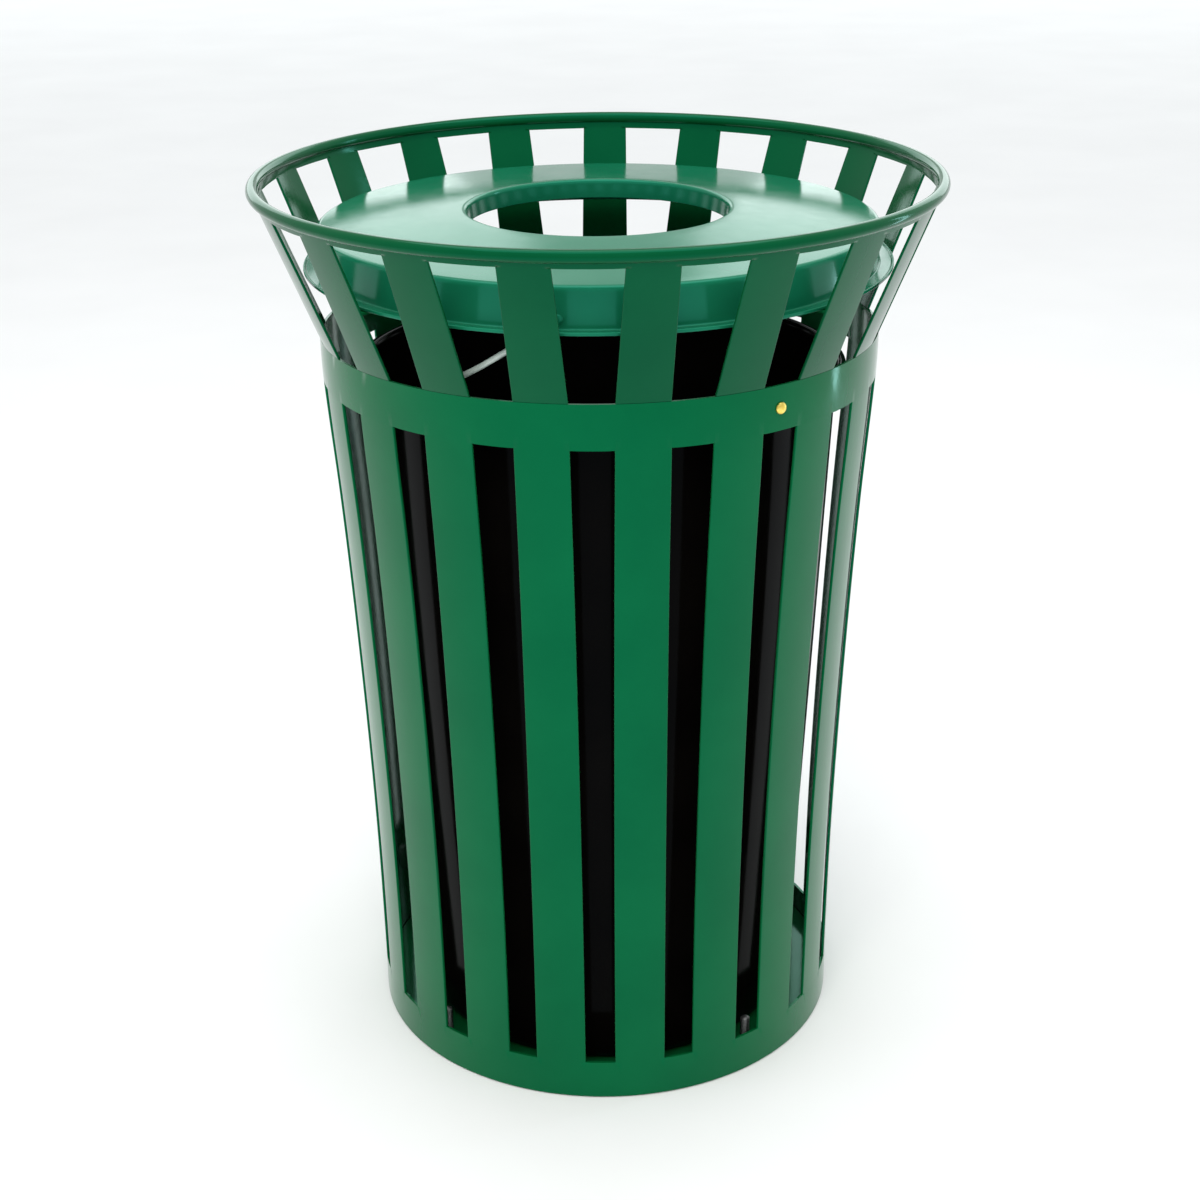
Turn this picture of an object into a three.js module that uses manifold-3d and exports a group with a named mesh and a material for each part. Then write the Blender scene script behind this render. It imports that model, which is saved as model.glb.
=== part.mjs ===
// Round slatted steel litter bin with a flared mouth, recessed lid and rigid liner.
// Millimetres, +Z up. Origin: centre of the footprint, on the ground. The front faces -Y.
// Angles around the bin are measured from the front (-Y) towards +X.
import * as THREE from 'three';
import { mergeVertices } from 'three/addons/utils/BufferGeometryUtils.js';
import Module from 'manifold-3d';

// ---------------------------------------------------------------- driving dimensions
const SLATS = 19;               // slats around the bin, and openings between them
const OPENING_ANGLE = -1.5;     // centre of the opening nearest the front, degrees
const SHEET = 3;                // body steel thickness
const GAP = 0.3;                // joint line between welded pieces

const RIM_OUTER_R = 355.6;      // 28 in over the rim
const RIM_BAR_R = 6.4;          // rolled rim bar
const RIM_Z = 945;              // height of the rim bar's centre
const RIM_BAND_Z = 933.4;       // lower edge of the narrow band under the rim
const CREASE_Z = 793.5;         // the mouth starts to flare here
const CREASE_R = 291.2;
const MID_BAND_Z = 748;         // lower edge of the mid band
const MID_BAND_R = 290.2;       // its radius there
const BASE_BAND_Z = 45;         // top of the base band
const BASE_R = 260;
const BASE_CLEAR = 1.5;         // base band's height over the ground on its feet

// outer profile of the long slats: height, radius
const SLAT_PROFILE = [[45, 260], [203, 262.3], [355, 267.2], [503, 274], [620, 280.8], [748, 290.2]];
const SLAT_W = 53.6;            // width of a long slat
const FLARE_W_LOW = 52.6;       // width of a mouth slat at the crease
const FLARE_W_TOP = 49.6;       // and under the rim

const LID_R = 288.3;            // over the skirt
const LID_EDGE_Z = 903.8;
const LID_SKIRT_Z = 861.2;      // underside of the flange round the skirt
const LID_FLANGE_R = 303.5;
const LID_T = 2;
const REST_SLATS = [2, 7, 11, 16];  // slats that carry a lid rest on their inner face
const HOLE_R = 134.8;           // the hole that litter goes through
const HOLE_Z = 915.1;
const COLLAR_Z = 895;

const FLOOR_Z = 12;             // underside of the floor plate
const FLOOR_T = 3;
const FLOOR_R = 256.3;
const LINER_BASE_R = 214.5;
const LINER_TOP_R = 249.5;      // outside, under the lip
const LINER_TOP_Z = 757;
const LINER_WALL = 3;

const FOOT_ANGLES = [41, 131, 221, 311];
const FOOT_CIRCLE_R = 235;
const FOOT_PAD_R = 16;
const FOOT_STUD_R = 5;
const FOOT_STUD_TOP = 46;

const BOLT_ANGLE = 36;          // tether bolt on the mid band
const BOLT_Z = 771;
const BOLT_R = 3;
const EYE_R = 8;
const EYE_WIRE_R = 2.2;
const EYE_CENTRE_R = 272;
const LUG_ANGLE = -7.4;         // where the tether is riveted to the lid skirt
const LUG_TILT = 53.13;         // its tail hangs this far from plumb
const LUG_Z = 873;
const CABLE_R = 3;

const PITCH = 360 / SLATS;
const SLAT_ANGLE = OPENING_ANGLE + PITCH / 2;
const FLARE_SLOPE = (RIM_OUTER_R - RIM_BAR_R - CREASE_R) / (RIM_Z - RIM_BAR_R - CREASE_Z);
const rad = THREE.MathUtils.degToRad;

// ---------------------------------------------------------------- materials
const green = new THREE.MeshStandardMaterial({ name: 'green_powder_coat', color: 0x0e6b3f, roughness: 0.18, metalness: 0.0 });
const lidGreen = new THREE.MeshStandardMaterial({ name: 'green_lid', color: 0x0f6c45, roughness: 0.15, metalness: 0.0 });
const black = new THREE.MeshStandardMaterial({ name: 'black_liner', color: 0x070708, roughness: 0.22, metalness: 0.0 });
const zinc = new THREE.MeshStandardMaterial({ name: 'zinc_steel', color: 0xa9acae, roughness: 0.35, metalness: 1.0 });
const brass = new THREE.MeshStandardMaterial({ name: 'brass', color: 0xd9a92c, roughness: 0.3, metalness: 1.0 });
const vinyl = new THREE.MeshStandardMaterial({ name: 'vinyl_cable', color: 0xb9c4bf, roughness: 0.4, metalness: 0.0 });
const darkZinc = new THREE.MeshStandardMaterial({ name: 'foot_steel', color: 0x6f7274, roughness: 0.45, metalness: 1.0 });

// ---------------------------------------------------------------- solids
const wasm = await Module();
wasm.setup();

// One welded, closed, outward-facing geometry with only positions.
function clean(geometry) {
  let g = geometry.index ? geometry.clone() : geometry.clone();
  g.deleteAttribute('normal');
  g.deleteAttribute('uv');
  g = mergeVertices(g, 1e-3);
  const p = g.attributes.position.array;
  const src = g.index.array;
  const out = [];
  let volume = 0;
  for (let i = 0; i < src.length; i += 3) {
    const [a, b, c] = [src[i], src[i + 1], src[i + 2]];
    if (a === b || b === c || a === c) continue;
    out.push(a, b, c);
    const [x1, y1, z1, x2, y2, z2, x3, y3, z3] = [a, b, c].flatMap((k) => [p[3 * k], p[3 * k + 1], p[3 * k + 2]]);
    volume += (x1 * (y2 * z3 - y3 * z2) + y1 * (z2 * x3 - z3 * x2) + z1 * (x2 * y3 - x3 * y2)) / 6;
  }
  if (volume < 0) for (let i = 0; i < out.length; i += 3) [out[i + 1], out[i + 2]] = [out[i + 2], out[i + 1]];
  g.setIndex(out);
  return g;
}
function solid(geometry) {
  const g = clean(geometry);
  return new wasm.Manifold(new wasm.Mesh({
    numProp: 3,
    vertProperties: new Float32Array(g.attributes.position.array),
    triVerts: new Uint32Array(g.index.array),
  }));
}
function geometryOf(manifold) {
  const m = manifold.getMesh();
  const g = new THREE.BufferGeometry();
  g.setAttribute('position', new THREE.BufferAttribute(new Float32Array(m.vertProperties), 3));
  g.setIndex(Array.from(m.triVerts));
  g.computeVertexNormals();
  return g;
}
// Turned shape from [radius, height] points, about Z. A closed profile repeats its first point.
function turned(points, segments, startAngle = 0) {
  const g = new THREE.LatheGeometry(points.map(([r, z]) => new THREE.Vector2(r, z)), segments, rad(startAngle), 2 * Math.PI);
  g.rotateX(Math.PI / 2);
  return clean(g);
}
const ring = (points, segments, startAngle) => turned([...points, points[0]], segments, startAngle);
// Prism: an outline in X, Z pushed along Y.
function prismAlongY(outline, y0, y1) {
  const g = new THREE.ExtrudeGeometry(new THREE.Shape(outline.map(([x, z]) => new THREE.Vector2(x, z))), { depth: y1 - y0, bevelEnabled: false });
  g.rotateX(Math.PI / 2);
  g.translate(0, y1, 0);
  return clean(g);
}
const circle = (r, n, cx = 0, cy = 0) => Array.from({ length: n }, (_, i) => new THREE.Vector2(cx + r * Math.cos((2 * Math.PI * i) / n), cy + r * Math.sin((2 * Math.PI * i) / n)));
// Cylinder along Y (the radial direction at the front).
function rodAlongY(r, y0, y1, n = 12) {
  const g = new THREE.CylinderGeometry(r, r, Math.abs(y1 - y0), n);
  g.translate(0, (y0 + y1) / 2, 0);
  return clean(g);
}
const polar = (angle, r, z) => new THREE.Vector3(r * Math.sin(rad(angle)), -r * Math.cos(rad(angle)), z);

const bin = new THREE.Group();
bin.name = 'litter_bin';
function piece(name, geometry, material, parent = bin) {
  geometry.computeVertexNormals();
  const mesh = new THREE.Mesh(geometry, material);
  mesh.name = name;
  parent.add(mesh);
  return mesh;
}
function turnedGroup(angle) {
  const g = new THREE.Group();
  g.rotation.z = rad(angle);
  bin.add(g);
  return g;
}

// ---------------------------------------------------------------- body
// Facets line up with the slats: four to a slat pitch, one centred on each slat.
const RING_SEGS = SLATS * 4;
const RING_START = SLAT_ANGLE - 360 / RING_SEGS / 2;

// base band: plain upright band at the ground
piece('base_band', ring([
  [BASE_R, BASE_CLEAR], [BASE_R, BASE_BAND_Z], [BASE_R - SHEET, BASE_BAND_Z], [BASE_R - SHEET, BASE_CLEAR],
], RING_SEGS, RING_START), green);

// mid band, with the tether bolt's hole
{
  const band = solid(ring([
    [MID_BAND_R, MID_BAND_Z], [CREASE_R, CREASE_Z], [CREASE_R - SHEET, CREASE_Z], [MID_BAND_R - SHEET, MID_BAND_Z],
  ], RING_SEGS, RING_START));
  const drill = rodAlongY(BOLT_R + 0.3, -(CREASE_R + 10), -(CREASE_R - 20));
  drill.translate(0, 0, BOLT_Z);
  drill.rotateZ(rad(BOLT_ANGLE));
  piece('mid_band', geometryOf(band.subtract(solid(drill))), green);
}

// long slats: curved along their length, cut to one width from a turned shell
{
  const outer = SLAT_PROFILE.map(([z, r]) => [r, z]);
  outer[0][1] += GAP;
  outer[outer.length - 1][1] -= GAP;
  const inner = outer.map(([r, z]) => [r - SHEET, z]).reverse();
  const shell = solid(ring([...outer, ...inner], RING_SEGS, RING_START));
  const cutter = new THREE.BoxGeometry(SLAT_W, 200, 900);
  cutter.translate(0, -280, 400);
  cutter.rotateZ(rad(SLAT_ANGLE));
  const slat = geometryOf(shell.intersect(solid(cutter)));
  for (let i = 0; i < SLATS; i++) piece(`slat_${String(i + 1).padStart(2, '0')}`, slat, green).rotation.z = rad(i * PITCH);
}

// mouth slats: tapered strips of the cone between the crease and the rim band
const flareR = (z) => CREASE_R + FLARE_SLOPE * (z - CREASE_Z);
{
  const [z0, z1] = [CREASE_Z + GAP, RIM_BAND_Z - GAP];
  const shell = solid(ring([
    [flareR(z0), z0], [flareR(z1), z1], [flareR(z1) - SHEET, z1], [flareR(z0) - SHEET, z0],
  ], RING_SEGS, RING_START));
  const cutter = prismAlongY([
    [-FLARE_W_LOW / 2, CREASE_Z], [FLARE_W_LOW / 2, CREASE_Z], [FLARE_W_TOP / 2, RIM_BAND_Z], [-FLARE_W_TOP / 2, RIM_BAND_Z],
  ], -420, -180);
  cutter.rotateZ(rad(SLAT_ANGLE));
  const slat = geometryOf(shell.intersect(solid(cutter)));
  for (let i = 0; i < SLATS; i++) piece(`flare_slat_${String(i + 1).padStart(2, '0')}`, slat, green).rotation.z = rad(i * PITCH);
}

// lid rests: bent tabs welded inside four mouth slats, under the lid's flange
REST_SLATS.forEach((slat, i) => {
  const inside = (z) => -((flareR(z) - SHEET) * Math.cos(Math.PI / RING_SEGS) - 0.35);
  const top = LID_SKIRT_Z - GAP;
  const [low, t] = [top - 28, 3];
  const outline = new THREE.Shape([
    [-281, top], [inside(top), top], [inside(low), low], [inside(low) + t, low], [inside(top - t) + t, top - t], [-281, top - t],
  ].map(([y, z]) => new THREE.Vector2(y, z)));
  const g = new THREE.ExtrudeGeometry(outline, { depth: 24, bevelEnabled: false });
  g.translate(0, 0, -12);
  g.applyMatrix4(new THREE.Matrix4().set(0, 0, 1, 0, 1, 0, 0, 0, 0, 1, 0, 0, 0, 0, 0, 1));
  piece(`lid_rest_${i + 1}`, clean(g), green, turnedGroup(SLAT_ANGLE + slat * PITCH));
});

// rolled rim: a round edge bar with the narrow plain band under it
{
  const c = RIM_OUTER_R - RIM_BAR_R;
  const bar = [];
  for (let a = -90; a <= 210; a += 30) bar.push([c + RIM_BAR_R * Math.cos(rad(a)), RIM_Z + RIM_BAR_R * Math.sin(rad(a))]);
  bar.push([c - SHEET, RIM_Z - Math.sqrt(RIM_BAR_R ** 2 - SHEET ** 2)]);
  piece('rim_ring', ring([[flareR(RIM_BAND_Z), RIM_BAND_Z], ...bar, [flareR(RIM_BAND_Z) - SHEET, RIM_BAND_Z]], 60, 0), green);
}

// floor plate: carries the liner and the feet; drain holes and a centre hole for a ground anchor
{
  const outline = new THREE.Shape(circle(FLOOR_R, 72));
  const hole = (r, n, angle, at) => {
    const v = polar(angle, at, 0);
    outline.holes.push(new THREE.Path(circle(r, n, v.x, v.y)));
  };
  hole(7, 12, 0, 0);
  FOOT_ANGLES.forEach((a) => hole(FOOT_STUD_R + 0.6, 12, a, FOOT_CIRCLE_R));
  for (let i = 0; i < 6; i++) hole(8, 10, 15 + i * 60, 150);
  const g = new THREE.ExtrudeGeometry(outline, { depth: FLOOR_T, bevelEnabled: false });
  g.translate(0, 0, FLOOR_Z);
  piece('floor_plate', clean(g), green);
}

// levelling feet, threaded through the floor plate
FOOT_ANGLES.forEach((angle, i) => {
  const at = polar(angle, FOOT_CIRCLE_R, 0);
  const foot = turned([
    [0, 0], [FOOT_PAD_R - 1, 0], [FOOT_PAD_R, 1.5], [FOOT_PAD_R, 4], [9, 8], [FOOT_STUD_R, 8],
    [FOOT_STUD_R, FOOT_STUD_TOP - 1.5], [FOOT_STUD_R - 1.5, FOOT_STUD_TOP], [0, FOOT_STUD_TOP],
  ], 12);
  piece(`leveling_foot_${i + 1}`, foot, darkZinc).position.set(at.x, at.y, 0);
});

// ---------------------------------------------------------------- liner
// tapered tub with an outward rolled lip, its mouth level with the mid band
{
  const z0 = FLOOR_Z + FLOOR_T + 0.4;
  const zt = LINER_TOP_Z;
  piece('liner', turned([
    [0, z0], [203, z0], [LINER_BASE_R - 3, z0 + 3], [LINER_BASE_R, z0 + 11], [LINER_TOP_R, zt - 14], [LINER_TOP_R + 1.2, zt - 6.4],
    [LINER_TOP_R + 4.4, zt - 4.2], [LINER_TOP_R + 6.4, zt - 5.6], [LINER_TOP_R + 6.7, zt - 10], [LINER_TOP_R + 9.7, zt - 10], [LINER_TOP_R + 9.6, zt - 4],
    [LINER_TOP_R + 7.4, zt - 1.1], [LINER_TOP_R + 4, zt], [LINER_TOP_R, zt - 1.4], [LINER_TOP_R - 2.4, zt - 5], [LINER_TOP_R - LINER_WALL, zt - 14],
    [LINER_BASE_R - LINER_WALL, z0 + 12], [202, z0 + LINER_WALL], [0, z0 + LINER_WALL],
  ], 56), black);
}

// ---------------------------------------------------------------- lid
{
  const t = LID_T;
  const body = solid(ring([
    [LID_R - t, LID_SKIRT_Z], [LID_FLANGE_R, LID_SKIRT_Z], [LID_FLANGE_R, LID_SKIRT_Z + 3.4], [LID_FLANGE_R - t, LID_SKIRT_Z + 3.4],
    [LID_FLANGE_R - t - 1, LID_SKIRT_Z + t], [LID_R + 1, LID_SKIRT_Z + t], [LID_R, LID_SKIRT_Z + t + 1],
    [LID_R, LID_EDGE_Z - 4.2], [LID_R - 1.2, LID_EDGE_Z - 1.3], [LID_R - 4, LID_EDGE_Z],
    [HOLE_R + 3.6, HOLE_Z - 0.2], [HOLE_R + 0.9, HOLE_Z - 1.4], [HOLE_R, HOLE_Z - 4],
    [HOLE_R, COLLAR_Z], [HOLE_R + t, COLLAR_Z], [HOLE_R + t, HOLE_Z - 4], [HOLE_R + 3.9, HOLE_Z - 2.3],
    [LID_R - 4.3, LID_EDGE_Z - t], [LID_R - t, LID_EDGE_Z - 4.6],
  ], 60));
  const drill = rodAlongY(2.8, -(LID_R + 8), -(LID_R - 12), 10);
  drill.translate(0, 0, LUG_Z);
  drill.rotateZ(rad(LUG_ANGLE));
  piece('lid', geometryOf(body.subtract(solid(drill))), lidGreen);
}

// ---------------------------------------------------------------- tether
// bolt through the mid band: domed head outside, shank into the eye nut inside
{
  const g = turnedGroup(BOLT_ANGLE);
  const head = CREASE_R - 0.3;   // seat of the head on the band
  const profile = [[0, 3.6], [3, 3.1], [5, 1.9], [6, 0.3], [6, 0], [BOLT_R, 0], [BOLT_R, -10], [0, -10]];
  const bolt = new THREE.LatheGeometry(profile.map(([r, y]) => new THREE.Vector2(r, y)), 16);
  bolt.rotateZ(Math.PI);         // head towards -Y
  bolt.translate(0, -(head + 0.4), BOLT_Z);
  piece('tether_bolt', clean(bolt), brass, g);

  // eye nut: collar on the shank with a ring lying level
  const collarOuter = MID_BAND_R - SHEET - 0.8;
  const collar = solid(rodAlongY(6, -collarOuter, -(EYE_CENTRE_R + EYE_R + 0.5), 12).translate(0, 0, BOLT_Z));
  const bore = solid(rodAlongY(BOLT_R + 0.3, -(collarOuter + 2), -(EYE_CENTRE_R + EYE_R + 1.2), 12).translate(0, 0, BOLT_Z));
  const eye = new THREE.TorusGeometry(EYE_R, EYE_WIRE_R, 8, 20);
  eye.translate(0, -EYE_CENTRE_R, BOLT_Z);
  piece('eye_nut', geometryOf(collar.add(solid(eye)).subtract(bore)), zinc, g);

  // snap hook: an upright link through the eye, with the crimp barrel on its left end
  const h = 7;
  const path = new THREE.CurvePath();
  const P = (t, z) => new THREE.Vector3(t, -EYE_CENTRE_R, BOLT_Z + z);
  const pts = [];
  for (let a = 90; a >= -90; a -= 22.5) pts.push(P(-h + h * Math.cos(rad(a)), h * Math.sin(rad(a))));
  for (let a = -90; a >= -270; a -= 22.5) pts.push(P(-26 + h * Math.cos(rad(a)), h * Math.sin(rad(a))));
  for (let i = 0; i < pts.length; i++) path.add(new THREE.LineCurve3(pts[i], pts[(i + 1) % pts.length]));
  const loop = new THREE.CatmullRomCurve3(pts, true, 'centripetal');
  const link = new THREE.ExtrudeGeometry(new THREE.Shape(circle(1.8, 8)), { steps: 36, bevelEnabled: false, extrudePath: loop });
  const barrel = new THREE.CylinderGeometry(4.6, 4.6, 18, 12);
  barrel.rotateZ(Math.PI / 2);
  barrel.translate(-41.5, -EYE_CENTRE_R, BOLT_Z);
  piece('snap_hook', geometryOf(solid(link).add(solid(barrel))), zinc, g);
}

// lug: flat eye riveted inside the lid skirt, its tail and crimp barrel slanting down to the left
const LUG_EYE_R = LID_R - LID_T - GAP - 1.4;   // middle of the flat eye
const LUG_BARREL_R = LUG_EYE_R - 3.6;          // middle of the barrel
{
  const g = turnedGroup(LUG_ANGLE);
  const y = -LUG_EYE_R;
  const eye = rodAlongY(7.5, y - 0.8, y + 0.8, 16);
  const neck = new THREE.BoxGeometry(6.4, 1.6, 14).translate(0, y, -10);
  const step = new THREE.BoxGeometry(5.6, 4.2, 3).translate(0, y + 1.6, -15.4);
  const barrel = new THREE.CylinderGeometry(4, 4, 11, 12).rotateX(Math.PI / 2).translate(0, -LUG_BARREL_R, -20.5);
  const hole = rodAlongY(2.8, y - 4, y + 4, 10);
  const lug = geometryOf(solid(eye).add(solid(neck)).add(solid(step)).add(solid(barrel)).subtract(solid(hole)));
  lug.rotateY(rad(LUG_TILT));
  lug.translate(0, 0, LUG_Z);
  piece('cable_lug', lug, zinc, g);
  const rivet = new THREE.LatheGeometry([[0, 2.2], [3, 1.7], [4.6, 0.4], [4.6, 0], [2.4, 0], [2.4, -5.6], [4, -5.6], [4, -6.4], [2.4, -7.2], [0, -7.2]].map(([r, s]) => new THREE.Vector2(r, s)), 12);
  rivet.rotateZ(Math.PI);
  rivet.translate(0, -(LID_R + GAP), LUG_Z);
  piece('lid_rivet', clean(rivet), lidGreen, g);
}

// cable: from the hook's barrel, along behind the mid band, round a slack loop and up to the lug
{
  const turn = (v, angle) => v.applyAxisAngle(new THREE.Vector3(0, 0, 1), rad(angle));
  const hookEnd = (t) => turn(new THREE.Vector3(-t, -EYE_CENTRE_R, BOLT_Z), BOLT_ANGLE);
  const lugEnd = (d) => turn(new THREE.Vector3(-d * Math.sin(rad(LUG_TILT)), -LUG_BARREL_R, LUG_Z - d * Math.cos(rad(LUG_TILT))), LUG_ANGLE);
  const route = [
    hookEnd(50.8), hookEnd(57), polar(16, 273.5, 768), polar(8, 271.5, 765), polar(-1, 270.5, 763.5), polar(-10, 270.5, 763), polar(-18, 270.5, 763.2),
    polar(-22.6, 270.5, 764), polar(-26.5, 270.5, 765.8), polar(-28.7, 270.6, 768.6), polar(-30.3, 270.8, 776.3), polar(-30.9, 271, 786.8), polar(-30.3, 271.2, 797.3),
    polar(-29.05, 271.5, 804), polar(-24, 273, 818.5), polar(-18.3, 276, 836), polar(-14.5, 278.8, 848), lugEnd(31), lugEnd(26.3),
  ];
  const curve = new THREE.CatmullRomCurve3(route, false, 'centripetal');
  const tube = new THREE.ExtrudeGeometry(new THREE.Shape(circle(CABLE_R, 8)), { steps: 40, bevelEnabled: false, extrudePath: curve });
  piece('tether_cable', clean(tube), vinyl);
}

export default bin;
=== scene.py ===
import math

import bmesh
import bpy
from mathutils import Matrix, Vector


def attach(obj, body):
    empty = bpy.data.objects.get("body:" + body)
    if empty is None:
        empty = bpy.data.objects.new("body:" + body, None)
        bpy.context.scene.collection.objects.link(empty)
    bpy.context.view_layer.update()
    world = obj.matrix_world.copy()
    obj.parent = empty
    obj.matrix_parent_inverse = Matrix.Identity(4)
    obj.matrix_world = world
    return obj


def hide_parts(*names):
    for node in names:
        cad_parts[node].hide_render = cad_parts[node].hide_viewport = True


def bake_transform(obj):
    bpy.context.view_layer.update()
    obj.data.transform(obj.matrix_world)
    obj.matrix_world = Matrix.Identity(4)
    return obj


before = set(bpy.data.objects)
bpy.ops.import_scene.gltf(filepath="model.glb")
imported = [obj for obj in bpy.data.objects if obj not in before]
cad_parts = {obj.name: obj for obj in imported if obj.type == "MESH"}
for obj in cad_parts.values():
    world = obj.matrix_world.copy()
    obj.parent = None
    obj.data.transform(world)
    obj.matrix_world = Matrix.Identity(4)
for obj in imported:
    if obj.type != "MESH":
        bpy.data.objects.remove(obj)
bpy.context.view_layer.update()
scene = bpy.context.scene
scene.view_settings.view_transform = "Standard"
scene.view_settings.look = "None"
MM = 0.001
pi, sin, cos, rad = math.pi, math.sin, math.cos, math.radians

# ---------------------------------------------------------------- camera
PITCH_DOWN, ROLL, YAW = 0.4009, -0.0108, -0.0011
camera_data = bpy.data.cameras.new("camera")
camera_data.sensor_width = 36
camera_data.lens = 61.05
camera_data.clip_end = 100
camera = bpy.data.objects.new("camera", camera_data)
scene.collection.objects.link(camera)
ahead = Vector((sin(YAW) * cos(PITCH_DOWN), cos(YAW) * cos(PITCH_DOWN), -sin(PITCH_DOWN)))
right = Vector((cos(YAW), -sin(YAW), 0))
up = right.cross(ahead)
right, up = cos(ROLL) * right + sin(ROLL) * up, cos(ROLL) * up - sin(ROLL) * right
camera.matrix_world = Matrix((
    (right.x, up.x, -ahead.x, 0),
    (right.y, up.y, -ahead.y, -2.0803),
    (right.z, up.z, -ahead.z, 1.3572),
    (0, 0, 0, 1),
))
scene.camera = camera

# ---------------------------------------------------------------- dimensions, in millimetres
SLATS = 19
PITCH = 360 / SLATS
SLAT_ANGLE = -1.5 + PITCH / 2
SHEET = 3.0
RIM_OUTER_R, RIM_BAR_R, RIM_Z, RIM_BAND_Z = 355.6, 6.4, 945.0, 933.4
CREASE_Z, CREASE_R = 793.5, 291.2
MID_BAND_Z, MID_BAND_R = 748.0, 290.2
BASE_R, BASE_CLEAR, BASE_BAND_Z = 260.0, 1.5, 45.0
SLAT_W, FLARE_W_LOW, FLARE_W_TOP = 53.6, 52.6, 49.6
SLOPE = (RIM_OUTER_R - RIM_BAR_R - CREASE_R) / (RIM_Z - RIM_BAR_R - CREASE_Z)
BOLT_ANGLE, BOLT_Z, EYE_R = 36.0, 771.0, 272.0
LUG_ANGLE, LUG_TILT, LUG_Z = -7.4, 53.13, 873.0
LID_R = 288.3


# ---------------------------------------------------------------- mesh helpers
def polar(angle, r, z):
    return Vector((r * sin(rad(angle)), -r * cos(rad(angle)), z))


def add(name, verts, faces, smooth=50, recalc=False):
    """A mesh object in metres from points in millimetres."""
    mesh = bpy.data.meshes.new(name)
    mesh.from_pydata([tuple(Vector(v) * MM) for v in verts], [], faces)
    mesh.validate()
    obj = bpy.data.objects.new(name, mesh)
    scene.collection.objects.link(obj)
    if recalc:
        bm = bmesh.new()
        bm.from_mesh(mesh)
        bmesh.ops.recalc_face_normals(bm, faces=bm.faces[:])
        bm.to_mesh(mesh)
        bm.free()
    finish_shading(obj, smooth)
    return obj


def finish_shading(obj, angle):
    obj.data.polygons.foreach_set("use_smooth", [True] * len(obj.data.polygons))
    obj.data.set_sharp_from_angle(angle=rad(angle))


def even_normals(obj):
    m = obj.modifiers.new("weighted", "WEIGHTED_NORMAL")
    m.mode = "FACE_AREA"
    m.weight = 80
    m.keep_sharp = True


def rounded(points, radius, n=3, closed=True):
    """A profile with its corners rounded."""
    out = []
    count = len(points)
    for i, p in enumerate(points):
        if not closed and i in (0, count - 1):
            out.append(tuple(p))
            continue
        p = Vector(p[:2]).to_2d()
        a, b = Vector(points[i - 1][:2]), Vector(points[(i + 1) % count][:2])
        d = min(radius, 0.45 * (a - p).length, 0.45 * (b - p).length)
        s, e = p + (a - p).normalized() * d, p + (b - p).normalized() * d
        for k in range(n + 1):
            t = k / n
            q = s * (1 - t) ** 2 + p * 2 * t * (1 - t) + e * t * t
            out.append((q.x, q.y))
    return out


def lathe(points, segs, place):
    """Verts and faces of a profile of (r, s) turned about an axis. place(r, s, angle) gives the point. Open profiles start and end on the axis."""
    closed = points[0][0] > 1e-6
    verts, faces, rows = [], [], []
    for r, s in points:
        if r < 1e-6:
            rows.append([len(verts)])
            verts.append(place(0, s, 0))
        else:
            rows.append(list(range(len(verts), len(verts) + segs)))
            verts += [place(r, s, 2 * pi * k / segs) for k in range(segs)]
    pairs = list(zip(rows, rows[1:] + rows[:1])) if closed else list(zip(rows, rows[1:]))
    for a, b in pairs:
        for k in range(segs):
            m = (k + 1) % segs
            if len(a) == 1 and len(b) == 1:
                continue
            if len(a) == 1:
                faces.append((a[0], b[m], b[k]))
            elif len(b) == 1:
                faces.append((a[k], a[m], b[0]))
            else:
                faces.append((a[k], a[m], b[m], b[k]))
    return verts, faces


def upright(centre=(0, 0)):
    return lambda r, s, a: Vector((centre[0] + r * cos(a), centre[1] + r * sin(a), s))


def along(origin, axis, side):
    """Turned about an axis through origin: s runs along axis."""
    origin, axis, side = Vector(origin), Vector(axis).normalized(), Vector(side).normalized()
    other = axis.cross(side)
    return lambda r, s, a: origin + axis * s + side * (r * cos(a)) + other * (r * sin(a))


def tube(points, radius, sides, closed=False, shape=None, caps=True):
    """A tube along a line of points. shape(angle, distance) scales its radius."""
    pts = [Vector(p) for p in points]
    n = len(pts)
    tangents = []
    for i in range(n):
        if closed:
            tangents.append((pts[(i + 1) % n] - pts[i - 1]).normalized())
        else:
            tangents.append((pts[min(i + 1, n - 1)] - pts[max(i - 1, 0)]).normalized())
    normal = tangents[0].orthogonal().normalized()
    normals = [normal]
    for i in range(1, n):
        normal = (normal - tangents[i] * normal.dot(tangents[i])).normalized()
        normals.append(normal)
    verts, faces, travelled = [], [], 0
    for i in range(n):
        if i:
            travelled += (pts[i] - pts[i - 1]).length
        binormal = tangents[i].cross(normals[i])
        for k in range(sides):
            a = 2 * pi * k / sides
            r = radius * (shape(a, travelled) if shape else 1)
            verts.append(pts[i] + normals[i] * (r * cos(a)) + binormal * (r * sin(a)))
    for i in range(n if closed else n - 1):
        j = (i + 1) % n
        for k in range(sides):
            m = (k + 1) % sides
            faces.append((i * sides + k, i * sides + m, j * sides + m, j * sides + k))
    if not closed and caps:
        faces.append(tuple(reversed(range(sides))))
        faces.append(tuple(range((n - 1) * sides, n * sides)))
    return verts, faces


def joined(*parts):
    verts, faces = [], []
    for v, f in parts:
        faces += [tuple(i + len(verts) for i in face) for face in f]
        verts += list(v)
    return verts, faces


# ---------------------------------------------------------------- materials
def nodes_of(name):
    m = bpy.data.materials.new(name)
    m.use_nodes = True
    nt = m.node_tree
    return m, nt, nt.nodes["Principled BSDF"]


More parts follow.
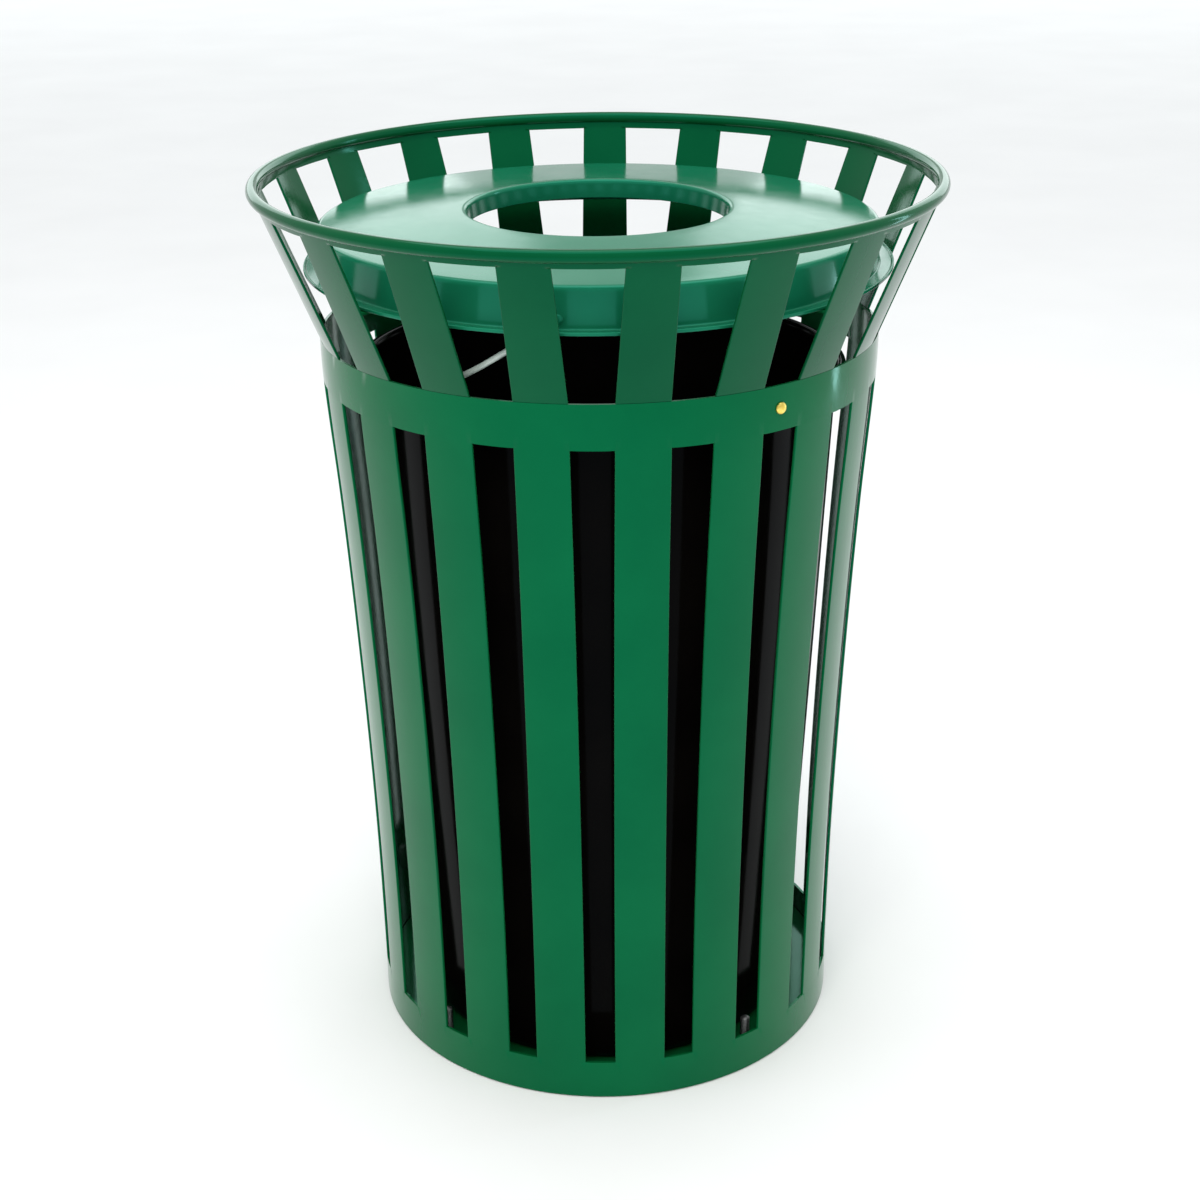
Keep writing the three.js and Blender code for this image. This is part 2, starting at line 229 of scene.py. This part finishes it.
def noise(nt, scale, detail=2.0, rough=0.5, stretch=None):
    coords = nt.nodes.new("ShaderNodeTexCoord")
    source = coords.outputs["Object"]
    if stretch:
        mapping = nt.nodes.new("ShaderNodeMapping")
        mapping.inputs["Scale"].default_value = stretch
        nt.links.new(source, mapping.inputs["Vector"])
        source = mapping.outputs["Vector"]
    n = nt.nodes.new("ShaderNodeTexNoise")
    n.inputs["Scale"].default_value = scale
    n.inputs["Detail"].default_value = detail
    n.inputs["Roughness"].default_value = rough
    nt.links.new(source, n.inputs["Vector"])
    return n.outputs["Fac"]


def ranged(nt, value, low, high, from_low=0.3, from_high=0.7):
    n = nt.nodes.new("ShaderNodeMapRange")
    n.inputs["From Min"].default_value = from_low
    n.inputs["From Max"].default_value = from_high
    n.inputs["To Min"].default_value = low
    n.inputs["To Max"].default_value = high
    nt.links.new(value, n.inputs["Value"])
    return n.outputs["Result"]


def mixed(nt, fac, a, b):
    n = nt.nodes.new("ShaderNodeMix")
    n.data_type = "RGBA"
    n.inputs["A"].default_value = (*a, 1)
    n.inputs["B"].default_value = (*b, 1)
    nt.links.new(fac, n.inputs["Factor"])
    return n.outputs["Result"]


def bump(nt, height, strength, distance, normal=None):
    n = nt.nodes.new("ShaderNodeBump")
    n.inputs["Strength"].default_value = strength
    n.inputs["Distance"].default_value = distance
    nt.links.new(height, n.inputs["Height"])
    if normal is not None:
        nt.links.new(normal, n.inputs["Normal"])
    return n.outputs["Normal"]


def added(nt, a, b):
    n = nt.nodes.new("ShaderNodeMath")
    n.operation = "ADD"
    nt.links.new(a, n.inputs[0])
    nt.links.new(b, n.inputs[1])
    return n.outputs["Value"]


def powder_coat(name, dark, light, rough, tint, level, relief=1.0):
    """Glossy powder coat: fine orange peel, cloudy thickness, faint scuffs and dust."""
    m, nt, shader = nodes_of(name)
    cloud = ranged(nt, noise(nt, 7, 4, 0.55), 0, 1, 0.35, 0.65)
    nt.links.new(mixed(nt, cloud, dark, light), shader.inputs["Base Color"])
    gloss = ranged(nt, noise(nt, 34, 5, 0.6), rough * 0.85, rough * 1.25)
    scuff = ranged(nt, noise(nt, 210, 3, 0.6, (1, 1, 0.12)), 0, 0.07, 0.62, 0.78)
    nt.links.new(added(nt, gloss, scuff), shader.inputs["Roughness"])
    peel = bump(nt, noise(nt, 240, 2, 0.4), 0.1 * relief, 0.0004)
    fine = bump(nt, noise(nt, 1100, 2, 0.5), 0.08 * relief, 0.0001, peel)
    nt.links.new(fine, shader.inputs["Normal"])
    shader.inputs["Specular IOR Level"].default_value = level
    shader.inputs["Specular Tint"].default_value = (*tint, 1)
    shader.inputs["IOR"].default_value = 1.48
    return m


def liner_plastic():
    """Moulded black polyethylene: glossy, a little wavy, with fine rubbed marks."""
    m, nt, shader = nodes_of("liner_black")
    cloud = ranged(nt, noise(nt, 11, 4), 0, 1)
    nt.links.new(mixed(nt, cloud, (0.0016, 0.0013, 0.0012), (0.0032, 0.0026, 0.0022)), shader.inputs["Base Color"])
    gloss = ranged(nt, noise(nt, 26, 4, 0.6), 0.08, 0.14)
    rubbed = ranged(nt, noise(nt, 160, 4, 0.65, (1, 1, 0.06)), 0, 0.1, 0.6, 0.8)
    nt.links.new(added(nt, gloss, rubbed), shader.inputs["Roughness"])
    wave = bump(nt, noise(nt, 9, 1), 0.12, 0.004)
    fine = bump(nt, noise(nt, 700, 2), 0.1, 0.0002, wave)
    nt.links.new(fine, shader.inputs["Normal"])
    shader.inputs["Specular Tint"].default_value = (0.3, 0.36, 0.42, 1)
    shader.inputs["IOR"].default_value = 1.14
    return m


def metal(name, dark, light, rough, scale=420):
    """Plated or turned metal: crystalline colour, uneven polish, fine scratches."""
    m, nt, shader = nodes_of(name)
    cells = nt.nodes.new("ShaderNodeTexVoronoi")
    coords = nt.nodes.new("ShaderNodeTexCoord")
    nt.links.new(coords.outputs["Object"], cells.inputs["Vector"])
    cells.inputs["Scale"].default_value = scale
    nt.links.new(mixed(nt, ranged(nt, cells.outputs["Distance"], 0, 1, 0.0, 0.7), dark, light), shader.inputs["Base Color"])
    nt.links.new(ranged(nt, noise(nt, 500, 4), rough * 0.75, rough * 1.35), shader.inputs["Roughness"])
    nt.links.new(bump(nt, noise(nt, 900, 3, 0.6, (1, 1, 0.2)), 0.18, 0.0002), shader.inputs["Normal"])
    shader.inputs["Metallic"].default_value = 1
    return m


def vinyl():
    """Pale vinyl jacket drawn over wire rope."""
    m, nt, shader = nodes_of("cable_vinyl")
    cloud = ranged(nt, noise(nt, 90, 3), 0, 1)
    nt.links.new(mixed(nt, cloud, (0.42, 0.5, 0.47), (0.55, 0.63, 0.6)), shader.inputs["Base Color"])
    nt.links.new(ranged(nt, noise(nt, 400, 3), 0.22, 0.36), shader.inputs["Roughness"])
    nt.links.new(bump(nt, noise(nt, 1500, 2), 0.15, 0.0001), shader.inputs["Normal"])
    shader.inputs["Coat Weight"].default_value = 0.5
    shader.inputs["Coat Roughness"].default_value = 0.08
    return m


GREEN = powder_coat("green_coat", (0.0014, 0.087, 0.023), (0.0022, 0.103, 0.028), 0.11, (0.02, 0.9, 0.6), 0.5)
# A darker copy of the body's green powder coat, used on the mouth slats and rolled rim: painted shade for the less
# light the flared mouth gets. The paint itself is the same as the body's.
SHADED_MOUTH_GREEN = powder_coat("green_coat_mouth_painted_shade", (0.0014, 0.062, 0.017), (0.0022, 0.073, 0.021), 0.12, (0.02, 0.7, 0.5), 0.5)
LID_GREEN = powder_coat("green_coat_lid", (0.005, 0.135, 0.066), (0.008, 0.16, 0.08), 0.15, (0.15, 0.95, 0.8), 0.5, 0.2)
BLACK = liner_plastic()
ZINC = metal("zinc_plate", (0.5, 0.51, 0.52), (0.72, 0.73, 0.74), 0.28)
FOOT_STEEL = metal("dull_zinc", (0.3, 0.31, 0.31), (0.5, 0.5, 0.49), 0.42)
BRASS = metal("brass_bolt", (0.95, 0.66, 0.1), (1.0, 0.78, 0.2), 0.38)
VINYL = vinyl()


def dress(obj, material, body, slot, *replaced):
    obj.data.materials.clear()
    obj.data.materials.append(material)
    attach(obj, body)
    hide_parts(*replaced)
    return obj


# ---------------------------------------------------------------- tether cable
def catmull(points, per):
    pts = [Vector(p) for p in points]
    pts = [2 * pts[0] - pts[1]] + pts + [2 * pts[-1] - pts[-2]]
    out = []
    for i in range(1, len(pts) - 2):
        p0, p1, p2, p3 = pts[i - 1:i + 3]
        d0, d1, d2 = [max((a - b).length ** 0.5, 1e-6) for a, b in ((p0, p1), (p1, p2), (p2, p3))]
        t1 = ((p1 - p0) / d0 - (p2 - p0) / (d0 + d1) + (p2 - p1) / d1) * d1
        t2 = ((p2 - p1) / d1 - (p3 - p1) / (d1 + d2) + (p3 - p2) / d2) * d1
        for k in range(per):
            t = k / per
            out.append(p1 + t1 * t + (3 * p2 - 3 * p1 - 2 * t1 - t2) * t * t + (2 * p1 - 2 * p2 + t1 + t2) * t ** 3)
    return out + [pts[-2]]


ROUTE = [
    (118.78, -249.912, 771), (113.764, -253.556, 771), (75.387, -262.905, 768), (37.785, -268.858, 765),
    (-4.721, -270.459, 763.5), (-46.972, -266.39, 763), (-83.589, -257.261, 763.2), (-103.952, -249.728, 764),
    (-120.697, -242.08, 765.8), (-129.948, -237.356, 768.6), (-136.626, -233.808, 776.3), (-139.17, -232.536, 786.8),
    (-136.828, -234.153, 797.3), (-131.833, -237.344, 804), (-111.039, -249.398, 818.5), (-86.662, -262.041, 836),
    (-69.806, -269.92, 848), (-60.785, -275.465, 854.4), (-57.056, -275.95, 857.22),
]
line = catmull(ROUTE, 16)
LAY = 38.0
cable = add("cable", *tube(line, 3.0, 36, shape=lambda a, s: 0.975 + 0.025 * cos(6 * (a - 2 * pi * s / LAY))), smooth=60)
cable.data.materials.append(VINYL)
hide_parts("tether_cable")
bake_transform(cable)


# ---------------------------------------------------------------- welded body
def hermite(points, z):
    """Smooth profile radius at a height, through (z, r) points."""
    i = max(k for k in range(len(points) - 1) if points[k][0] <= z or k == 0)
    (z0, r0), (z1, r1) = points[i], points[i + 1]

    def slope(k):
        a, b = points[max(k - 1, 0)], points[min(k + 1, len(points) - 1)]
        return (b[1] - a[1]) / (b[0] - a[0])

    h = z1 - z0
    t = (z - z0) / h
    return (2 * t ** 3 - 3 * t * t + 1) * r0 + (t ** 3 - 2 * t * t + t) * h * slope(i) + (3 * t * t - 2 * t ** 3) * r1 + (t ** 3 - t * t) * h * slope(i + 1)


PROFILE = [(1.5, 260), (45, 260), (203, 262.3), (355, 267.2), (503, 274), (620, 280.8), (748, 290.2), (793.5, 291.2)]


def flare_r(z):
    return CREASE_R + SLOPE * (z - CREASE_Z)


def slat_cross_section(width, edge=0.8, cells=12):
    """A rounded bar's outline as (across, depth in from the outer face)."""
    h = width / 2
    out = []
    for k in range(cells + 1):
        out.append((-h + edge + (width - 2 * edge) * k / cells, 0.0))
    for a in (30, 60):
        out.append((h - edge + edge * sin(rad(a)), edge - edge * cos(rad(a))))
    out.append((h, edge))
    out.append((h, SHEET - edge))
    for a in (30, 60):
        out.append((h - edge + edge * cos(rad(a)), SHEET - edge + edge * sin(rad(a))))
    for k in range(cells + 1):
        out.append((h - edge - (width - 2 * edge) * k / cells, SHEET))
    for a in (30, 60):
        out.append((-h + edge - edge * sin(rad(a)), SHEET - edge + edge * cos(rad(a))))
    out.append((-h, SHEET - edge))
    out.append((-h, edge))
    for a in (30, 60):
        out.append((-h + edge - edge * cos(rad(a)), edge - edge * sin(rad(a))))
    return out


def slat_mesh(levels, radius, width):
    """A slat at the front, swept up the body's profile."""
    verts, faces = [], []
    count = len(slat_cross_section(width(levels[0])))
    for z in levels:
        for x, depth in slat_cross_section(width(z)):
            r = radius(z) - depth
            verts.append(Vector((x, -math.sqrt(r * r - x * x), z)))
    for i in range(len(levels) - 1):
        for k in range(count):
            m = (k + 1) % count
            faces.append((i * count + k, i * count + m, (i + 1) * count + m, (i + 1) * count + k))
    faces.append(tuple(reversed(range(count))))
    faces.append(tuple(range((len(levels) - 1) * count, len(levels) * count)))
    return verts, faces


def spun(verts, angle):
    m = Matrix.Rotation(rad(angle), 3, "Z")
    return [m @ v for v in verts]


long_levels = [BASE_BAND_Z + (MID_BAND_Z - BASE_BAND_Z) * k / 48 for k in range(49)]
long_slat = slat_mesh(long_levels, lambda z: hermite(PROFILE, z), lambda z: SLAT_W)
flare_low = CREASE_Z + 0.45
flare_levels = [flare_low + (RIM_BAND_Z - flare_low) * k / 10 for k in range(11)]
flare_slat = slat_mesh(flare_levels, flare_r, lambda z: FLARE_W_LOW + (FLARE_W_TOP - FLARE_W_LOW) * (z - CREASE_Z) / (RIM_BAND_Z - CREASE_Z))
for i in range(SLATS):
    angle = SLAT_ANGLE + i * PITCH
    number = f"{i + 1:02d}"
    s = add(f"body_slat_{number}", spun(long_slat[0], angle), long_slat[1], 50)
    even_normals(s)
    dress(s, GREEN, "frame", "green_powder_coat", f"slat_{number}")
    # The mouth slats take the darker copy of the coat, which is painted shade.
    s = add(f"mouth_slat_{number}", spun(flare_slat[0], angle), flare_slat[1], 50)
    even_normals(s)
    dress(s, SHADED_MOUTH_GREEN, "frame", "green_powder_coat", f"flare_slat_{number}")

IN_SLAT, IN_OPENING = 8, 6


def band(name, profile, width, bevels, node, edge=0.7):
    """A ring with the slats' edges among its columns. bevels is a list of (profile point, 'open' or 'all')."""
    per = IN_SLAT + IN_OPENING
    columns = per * SLATS
    bm = bmesh.new()
    rows = []
    for r, z in profile:
        half = math.degrees(math.asin(width(z) / 2 / r))
        row = []
        for i in range(SLATS):
            c = SLAT_ANGLE + i * PITCH
            row += [c - half + 2 * half * k / IN_SLAT for k in range(IN_SLAT)]
            row += [c + half + (PITCH - 2 * half) * k / IN_OPENING for k in range(IN_OPENING)]
        rows.append([bm.verts.new(polar(a, r, z) * MM) for a in row])
    for a, b in zip(rows, rows[1:] + rows[:1]):
        for k in range(columns):
            m = (k + 1) % columns
            bm.faces.new((a[k], a[m], b[m], b[k]))
    edges = []
    for point, where in bevels:
        row = rows[point]
        for k in range(columns):
            if where == "all" or k % per >= IN_SLAT:
                edges.append(bm.edges.get((row[k], row[(k + 1) % columns])))
    bmesh.ops.bevel(bm, geom=edges, offset=edge * MM, offset_type="OFFSET", segments=3, profile=0.5, affect="EDGES", clamp_overlap=True)
    bmesh.ops.recalc_face_normals(bm, faces=bm.faces[:])
    mesh = bpy.data.meshes.new(name)
    bm.to_mesh(mesh)
    bm.free()
    obj = bpy.data.objects.new(name, mesh)
    scene.collection.objects.link(obj)
    finish_shading(obj, 50)
    even_normals(obj)
    # The rolled rim takes the darker copy of the coat, which is painted shade.
    return dress(obj, SHADED_MOUTH_GREEN if node == "rim_ring" else GREEN, "frame", "green_powder_coat", node)


band("base_hoop", [
    (BASE_R, BASE_CLEAR), (BASE_R, 16), (BASE_R, 31), (BASE_R, BASE_BAND_Z),
    (BASE_R - SHEET, BASE_BAND_Z), (BASE_R - SHEET, 31), (BASE_R - SHEET, 16), (BASE_R - SHEET, BASE_CLEAR),
], lambda z: SLAT_W, [(0, "all"), (3, "open"), (4, "open"), (7, "all")], "base_band")
band("mid_hoop", [
    (MID_BAND_R, MID_BAND_Z), (290.8, 763), (291.1, 778), (CREASE_R, CREASE_Z),
    (CREASE_R - SHEET, CREASE_Z), (288.1, 778), (287.8, 763), (MID_BAND_R - SHEET, MID_BAND_Z),
], lambda z: SLAT_W + (FLARE_W_LOW - SLAT_W) * (z - MID_BAND_Z) / (CREASE_Z - MID_BAND_Z), [(0, "open"), (3, "all"), (4, "all"), (7, "open")], "mid_band", 0.6)
rim_c = RIM_OUTER_R - RIM_BAR_R
rim_profile = [(flare_r(RIM_BAND_Z), RIM_BAND_Z), (flare_r(936), 936)]
rim_profile += [(rim_c + RIM_BAR_R * cos(rad(a)), RIM_Z + RIM_BAR_R * sin(rad(a))) for a in range(-90, 225, 15)]
rim_profile += [(rim_c - SHEET - 0.6, RIM_Z - 5.0), (flare_r(936) - SHEET, 936), (flare_r(RIM_BAND_Z) - SHEET, RIM_BAND_Z)]
band("rolled_rim", rim_profile, lambda z: FLARE_W_TOP, [(0, "open"), (len(rim_profile) - 1, "open")], "rim_ring")


# floor plate and lid rests: the CAD shapes with their edges broken
def broken_edges(node, name, material, body, slot, width, angle=35):
    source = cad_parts[node]
    bm = bmesh.new()
    bm.from_mesh(source.data)
    bmesh.ops.remove_doubles(bm, verts=bm.verts[:], dist=1e-6)
    bmesh.ops.dissolve_limit(bm, angle_limit=rad(1), verts=bm.verts[:], edges=bm.edges[:])
    edges = [e for e in bm.edges if len(e.link_faces) == 2 and e.calc_face_angle(0) > rad(angle)]
    bmesh.ops.bevel(bm, geom=edges, offset=width * MM, offset_type="OFFSET", segments=2, profile=0.5, affect="EDGES", clamp_overlap=True)
    bmesh.ops.triangulate(bm, faces=[f for f in bm.faces if len(f.verts) > 4])
    mesh = bpy.data.meshes.new(name)
    bm.to_mesh(mesh)
    bm.free()
    obj = bpy.data.objects.new(name, mesh)
    scene.collection.objects.link(obj)
    finish_shading(obj, 40)
    even_normals(obj)
    return dress(obj, material, body, slot, node)


broken_edges("floor_plate", "floor_disc", GREEN, "frame", "green_powder_coat", 0.4)
for i in range(1, 5):
    broken_edges(f"lid_rest_{i}", f"lid_tab_{i}", GREEN, "frame", "green_powder_coat", 0.5)

# levelling feet: forged pad and a threaded stud
for i, a in enumerate((41, 131, 221, 311)):
    at = polar(a, 235, 0)
    profile = [(0, 0)] + rounded([(15, 0), (16, 1.5), (16, 4), (9.4, 7.6), (6.4, 8.0), (4.9, 8.9)], 0.7, 3, closed=False)
    z = 9.4
    while z < 44.2:
        profile += [(4.55, z), (5.0, z + 0.55), (4.55, z + 1.1)]
        z += 1.5
    profile += [(4.3, 45.2), (3.4, 46), (0, 46)]
    foot = add(f"foot_{i + 1}", *lathe(profile, 40, upright((at.x, at.y))), smooth=60, recalc=True)
    dress(foot, FOOT_STEEL, f"foot_{i + 1}", "foot_steel", f"leveling_foot_{i + 1}")

# ---------------------------------------------------------------- liner
LT, LZ, LB = 249.5, 757.0, 15.4
inside = [(LT - 3, LZ - 14), (211.5, LB + 12), (202, LB + 3)]
outline = [
    (203, LB), (211.5, LB + 3), (214.5, LB + 11), (LT, LZ - 14), (LT + 1.2, LZ - 6.4), (LT + 4.4, LZ - 4.2), (LT + 6.4, LZ - 5.6),
    (LT + 6.7, LZ - 10), (LT + 9.7, LZ - 10), (LT + 9.6, LZ - 4), (LT + 7.4, LZ - 1.1), (LT + 4, LZ), (LT, LZ - 1.4), (LT - 2.4, LZ - 5), *inside,
]
soft = rounded([(0, LB), *outline, (0, LB + 3)], 3.0, 4, closed=False)
dense = []
for p, q in zip(soft, soft[1:]):
    steps = max(1, int(math.dist(p, q) // 30))
    dense += [(p[0] + (q[0] - p[0]) * k / steps, p[1] + (q[1] - p[1]) * k / steps) for k in range(steps)]
dense.append(soft[-1])
liner = add("liner_tub", *lathe(dense, 128, upright()), smooth=60, recalc=True)
dress(liner, BLACK, "liner", "black_liner", "liner")

# ---------------------------------------------------------------- lid
lid_points = [
    (286.3, 861.2), (303.5, 861.2), (303.5, 864.6), (301.5, 864.6), (300.5, 863.2), (289.3, 863.2), (288.3, 864.2), (288.3, 899.6), (287.1, 902.5), (284.3, 903.8),
    (138.4, 914.9), (135.7, 913.7), (134.8, 911.1), (134.8, 895), (136.8, 895), (136.8, 911.1), (138.7, 912.8), (284, 901.8), (286.3, 899.2),
]
lid_soft = rounded(lid_points, 1.3, 4)
lid_dense = []
for p, q in zip(lid_soft, lid_soft[1:] + lid_soft[:1]):
    steps = max(1, int(math.dist(p, q) // 12))
    lid_dense += [(p[0] + (q[0] - p[0]) * k / steps, p[1] + (q[1] - p[1]) * k / steps) for k in range(steps)]
lid = add("lid_pan", *lathe(lid_dense, 192, upright()), smooth=60, recalc=True)
dress(lid, LID_GREEN, "lid", "green_lid", "lid")


# ---------------------------------------------------------------- tether hardware
def local(angle):
    """Axes at an angle round the bin: across, outward."""
    return Vector((cos(rad(angle)), sin(rad(angle)), 0)), Vector((sin(rad(angle)), -cos(rad(angle)), 0))


across, outward = local(BOLT_ANGLE)
Z = Vector((0, 0, 1))
dome = [(0, -10), (2.4, -10), (3, -9.4), (3, 0), (6, 0), (6, 0.5)]
dome += [(6 * cos(rad(a)), 0.5 + 3.1 * sin(rad(a))) for a in range(15, 90, 15)] + [(0, 3.6)]
bolt = add("bolt", *lathe(dome, 40, along(outward * (CREASE_R + 0.1) + Z * BOLT_Z, outward, across)), smooth=55, recalc=True)
dress(bolt, BRASS, "frame", "brass", "tether_bolt")

centre = outward * EYE_R + Z * BOLT_Z
eye_ring = tube([centre + across * (8 * cos(2 * pi * k / 64)) + outward * (8 * sin(2 * pi * k / 64)) for k in range(64)], 2.2, 20, closed=True)
collar = lathe(rounded([(3.3, 280.4), (6, 280.4), (6, 286.3), (3.3, 286.3)], 0.7, 3), 36, along(Z * BOLT_Z, outward, across))
eye = add("eye", *joined(eye_ring, collar), smooth=55, recalc=True)
dress(eye, ZINC, "frame", "zinc_steel", "eye_nut")

h = 7.0
link_points = [centre + across * (-h + h * cos(rad(a))) + Z * (h * sin(rad(a))) for a in range(90, -91, -10)]
link_points += [centre + across * (-10 - 16 * k / 5 * 0.8) - Z * h for k in range(1, 5)]
link_points += [centre + across * (-26 + h * cos(rad(a))) + Z * (h * sin(rad(a))) for a in range(-90, -271, -10)]
link_points += [centre + across * (-24 + 14 * k / 5) + Z * h for k in range(1, 5)]
link = tube(link_points, 1.8, 18, closed=True)
barrel_profile = [(0, -50.5), (4.2, -50.5), (4.6, -50.1), (4.6, -47.5), (4.2, -46.9), (4.2, -46.1), (4.6, -45.5), (4.6, -43.0), (4.2, -42.4), (4.2, -41.6), (4.6, -41.0), (4.6, -38.5), (4.2, -37.9), (4.2, -37.1), (4.6, -36.5), (4.6, -33.1), (4.1, -32.5), (0, -32.5)]
gate = lathe([(0, -24.5), (2.1, -24.5), (2.5, -24.0), (2.5, -18.6), (2.1, -18.1), (0, -18.1)], 28, along(centre + Z * h, across, Z))
hook = add("hook", *joined(link, lathe(barrel_profile, 36, along(centre, across, Z)), gate), smooth=45, recalc=True)
dress(hook, ZINC, "liner", "zinc_steel", "snap_hook")

across, outward = local(LUG_ANGLE)
down = -across * sin(rad(LUG_TILT)) - Z * cos(rad(LUG_TILT))
side = across * cos(rad(LUG_TILT)) - Z * sin(rad(LUG_TILT))
eye_r = LID_R - 2 - 0.3 - 1.4
eye_plate = lathe(rounded([(2.8, -0.8), (7.5, -0.8), (7.5, 0.8), (2.8, 0.8)], 0.35, 2), 40, along(outward * eye_r + Z * LUG_Z, outward, across))


def slab(origin, u, v, w, nu, nv, nw):
    """A box with rounded edges: half sizes nu, nv, nw along u, v, w."""
    bm = bmesh.new()
    bmesh.ops.create_cube(bm, size=2)
    for vert in bm.verts:
        vert.co = Vector((vert.co.x * nu, vert.co.y * nv, vert.co.z * nw))
    bmesh.ops.bevel(bm, geom=bm.edges[:], offset=min(nu, nv, nw) * 0.4, offset_type="OFFSET", segments=3, profile=0.5, affect="EDGES")
    bm.verts.ensure_lookup_table()
    verts = [origin + u * p.co.x + v * p.co.y + w * p.co.z for p in bm.verts]
    faces = [tuple(p.index for p in f.verts) for f in bm.faces]
    bm.free()
    return verts, faces


neck = slab(outward * eye_r + Z * LUG_Z + down * 10, side, outward, down, 3.2, 0.8, 7)
step = slab(outward * (eye_r - 1.6) + Z * LUG_Z + down * 15.4, side, outward, down, 2.8, 2.1, 1.5)
lug_barrel = lathe([(0, 15), (3.6, 15), (4, 15.4), (4, 17.6), (3.65, 18.1), (3.65, 18.9), (4, 19.4), (4, 21.8), (3.65, 22.3), (3.65, 23.1), (4, 23.6), (4, 25.6), (3.6, 26), (0, 26)], 32, along(outward * (eye_r - 3.6) + Z * LUG_Z, down, side))
lug = add("lug", *joined(eye_plate, neck, step, lug_barrel), smooth=45, recalc=True)
dress(lug, ZINC, "lid", "zinc_steel", "cable_lug")
rivet_profile = [(0, -7.2), (2.4, -7.2), (4, -6.4), (4, -5.6), (2.4, -5.6), (2.4, 0), (4.6, 0)]
rivet_profile += [(4.6 * cos(rad(a)), 0.3 + 1.9 * sin(rad(a))) for a in range(0, 90, 15)] + [(0, 2.2)]
rivet = add("rivet", *lathe(rivet_profile, 36, along(outward * (LID_R + 0.3) + Z * LUG_Z, outward, across)), smooth=55, recalc=True)
dress(rivet, LID_GREEN, "lid", "green_lid", "lid_rivet")


# ---------------------------------------------------------------- stage
def floor_material():
    m, nt, shader = nodes_of("studio_floor")
    nt.links.new(mixed(nt, ranged(nt, noise(nt, 2.2, 3), 0, 1), (0.9, 0.9, 0.9), (0.93, 0.93, 0.93)), shader.inputs["Base Color"])
    nt.links.new(bump(nt, noise(nt, 240, 3), 0.05, 0.0005), shader.inputs["Normal"])
    shader.inputs["Roughness"].default_value = 0.75
    shader.inputs["Specular IOR Level"].default_value = 0.2
    return m


floor = add("studio_floor", [(-30000, -30000, 0), (30000, -30000, 0), (30000, 30000, 0), (-30000, 30000, 0)], [(0, 1, 2, 3)])
floor.data.materials.append(floor_material())

world = bpy.data.worlds.new("studio")
scene.world = world
world.use_nodes = True
world.node_tree.nodes["Background"].inputs["Color"].default_value = (0.97, 0.985, 1.0, 1)
world.node_tree.nodes["Background"].inputs["Strength"].default_value = 0.72


def area_light(name, place, target, width, height, radiance, colour=(1, 1, 1)):
    data = bpy.data.lights.new(name, "AREA")
    data.shape = "RECTANGLE"
    data.size, data.size_y = width, height
    data.energy = radiance * pi * width * height
    data.color = colour
    obj = bpy.data.objects.new(name, data)
    scene.collection.objects.link(obj)
    obj.location = place
    obj.rotation_euler = (Vector(target) - Vector(place)).to_track_quat("-Z", "Y").to_euler()
    obj.visible_camera = False
    return obj


area_light("back_left", (-5.6, 15.0, 6.2), (0, 0, 0.8), 9.6, 10.0, 1.35, (0.93, 1.0, 1.0))
area_light("back_right", (5.9, 15.0, 6.2), (0, 0, 0.8), 9.6, 10.0, 1.5, (0.93, 1.0, 1.0))
area_light("top_box", (0, -0.2, 3.4), (0, 0, 0), 3.0, 2.6, 2.0)
key = area_light("front_key", (-0.5, -3.4, 3.9), (0, 0, 0.6), 2.6, 1.6, 6.2, (1.0, 0.98, 0.9))
fill = area_light("left_fill", (-3.6, -1.0, 1.5), (0, 0, 0.6), 1.6, 2.2, 1.4, (0.82, 0.95, 1.0))
key.visible_glossy = fill.visible_glossy = False
area_light("right_strip", (2.4, 0.66, 0.85), (0, 0.3, 0.65), 0.14, 1.9, 7.0, (0.72, 0.9, 1.0))
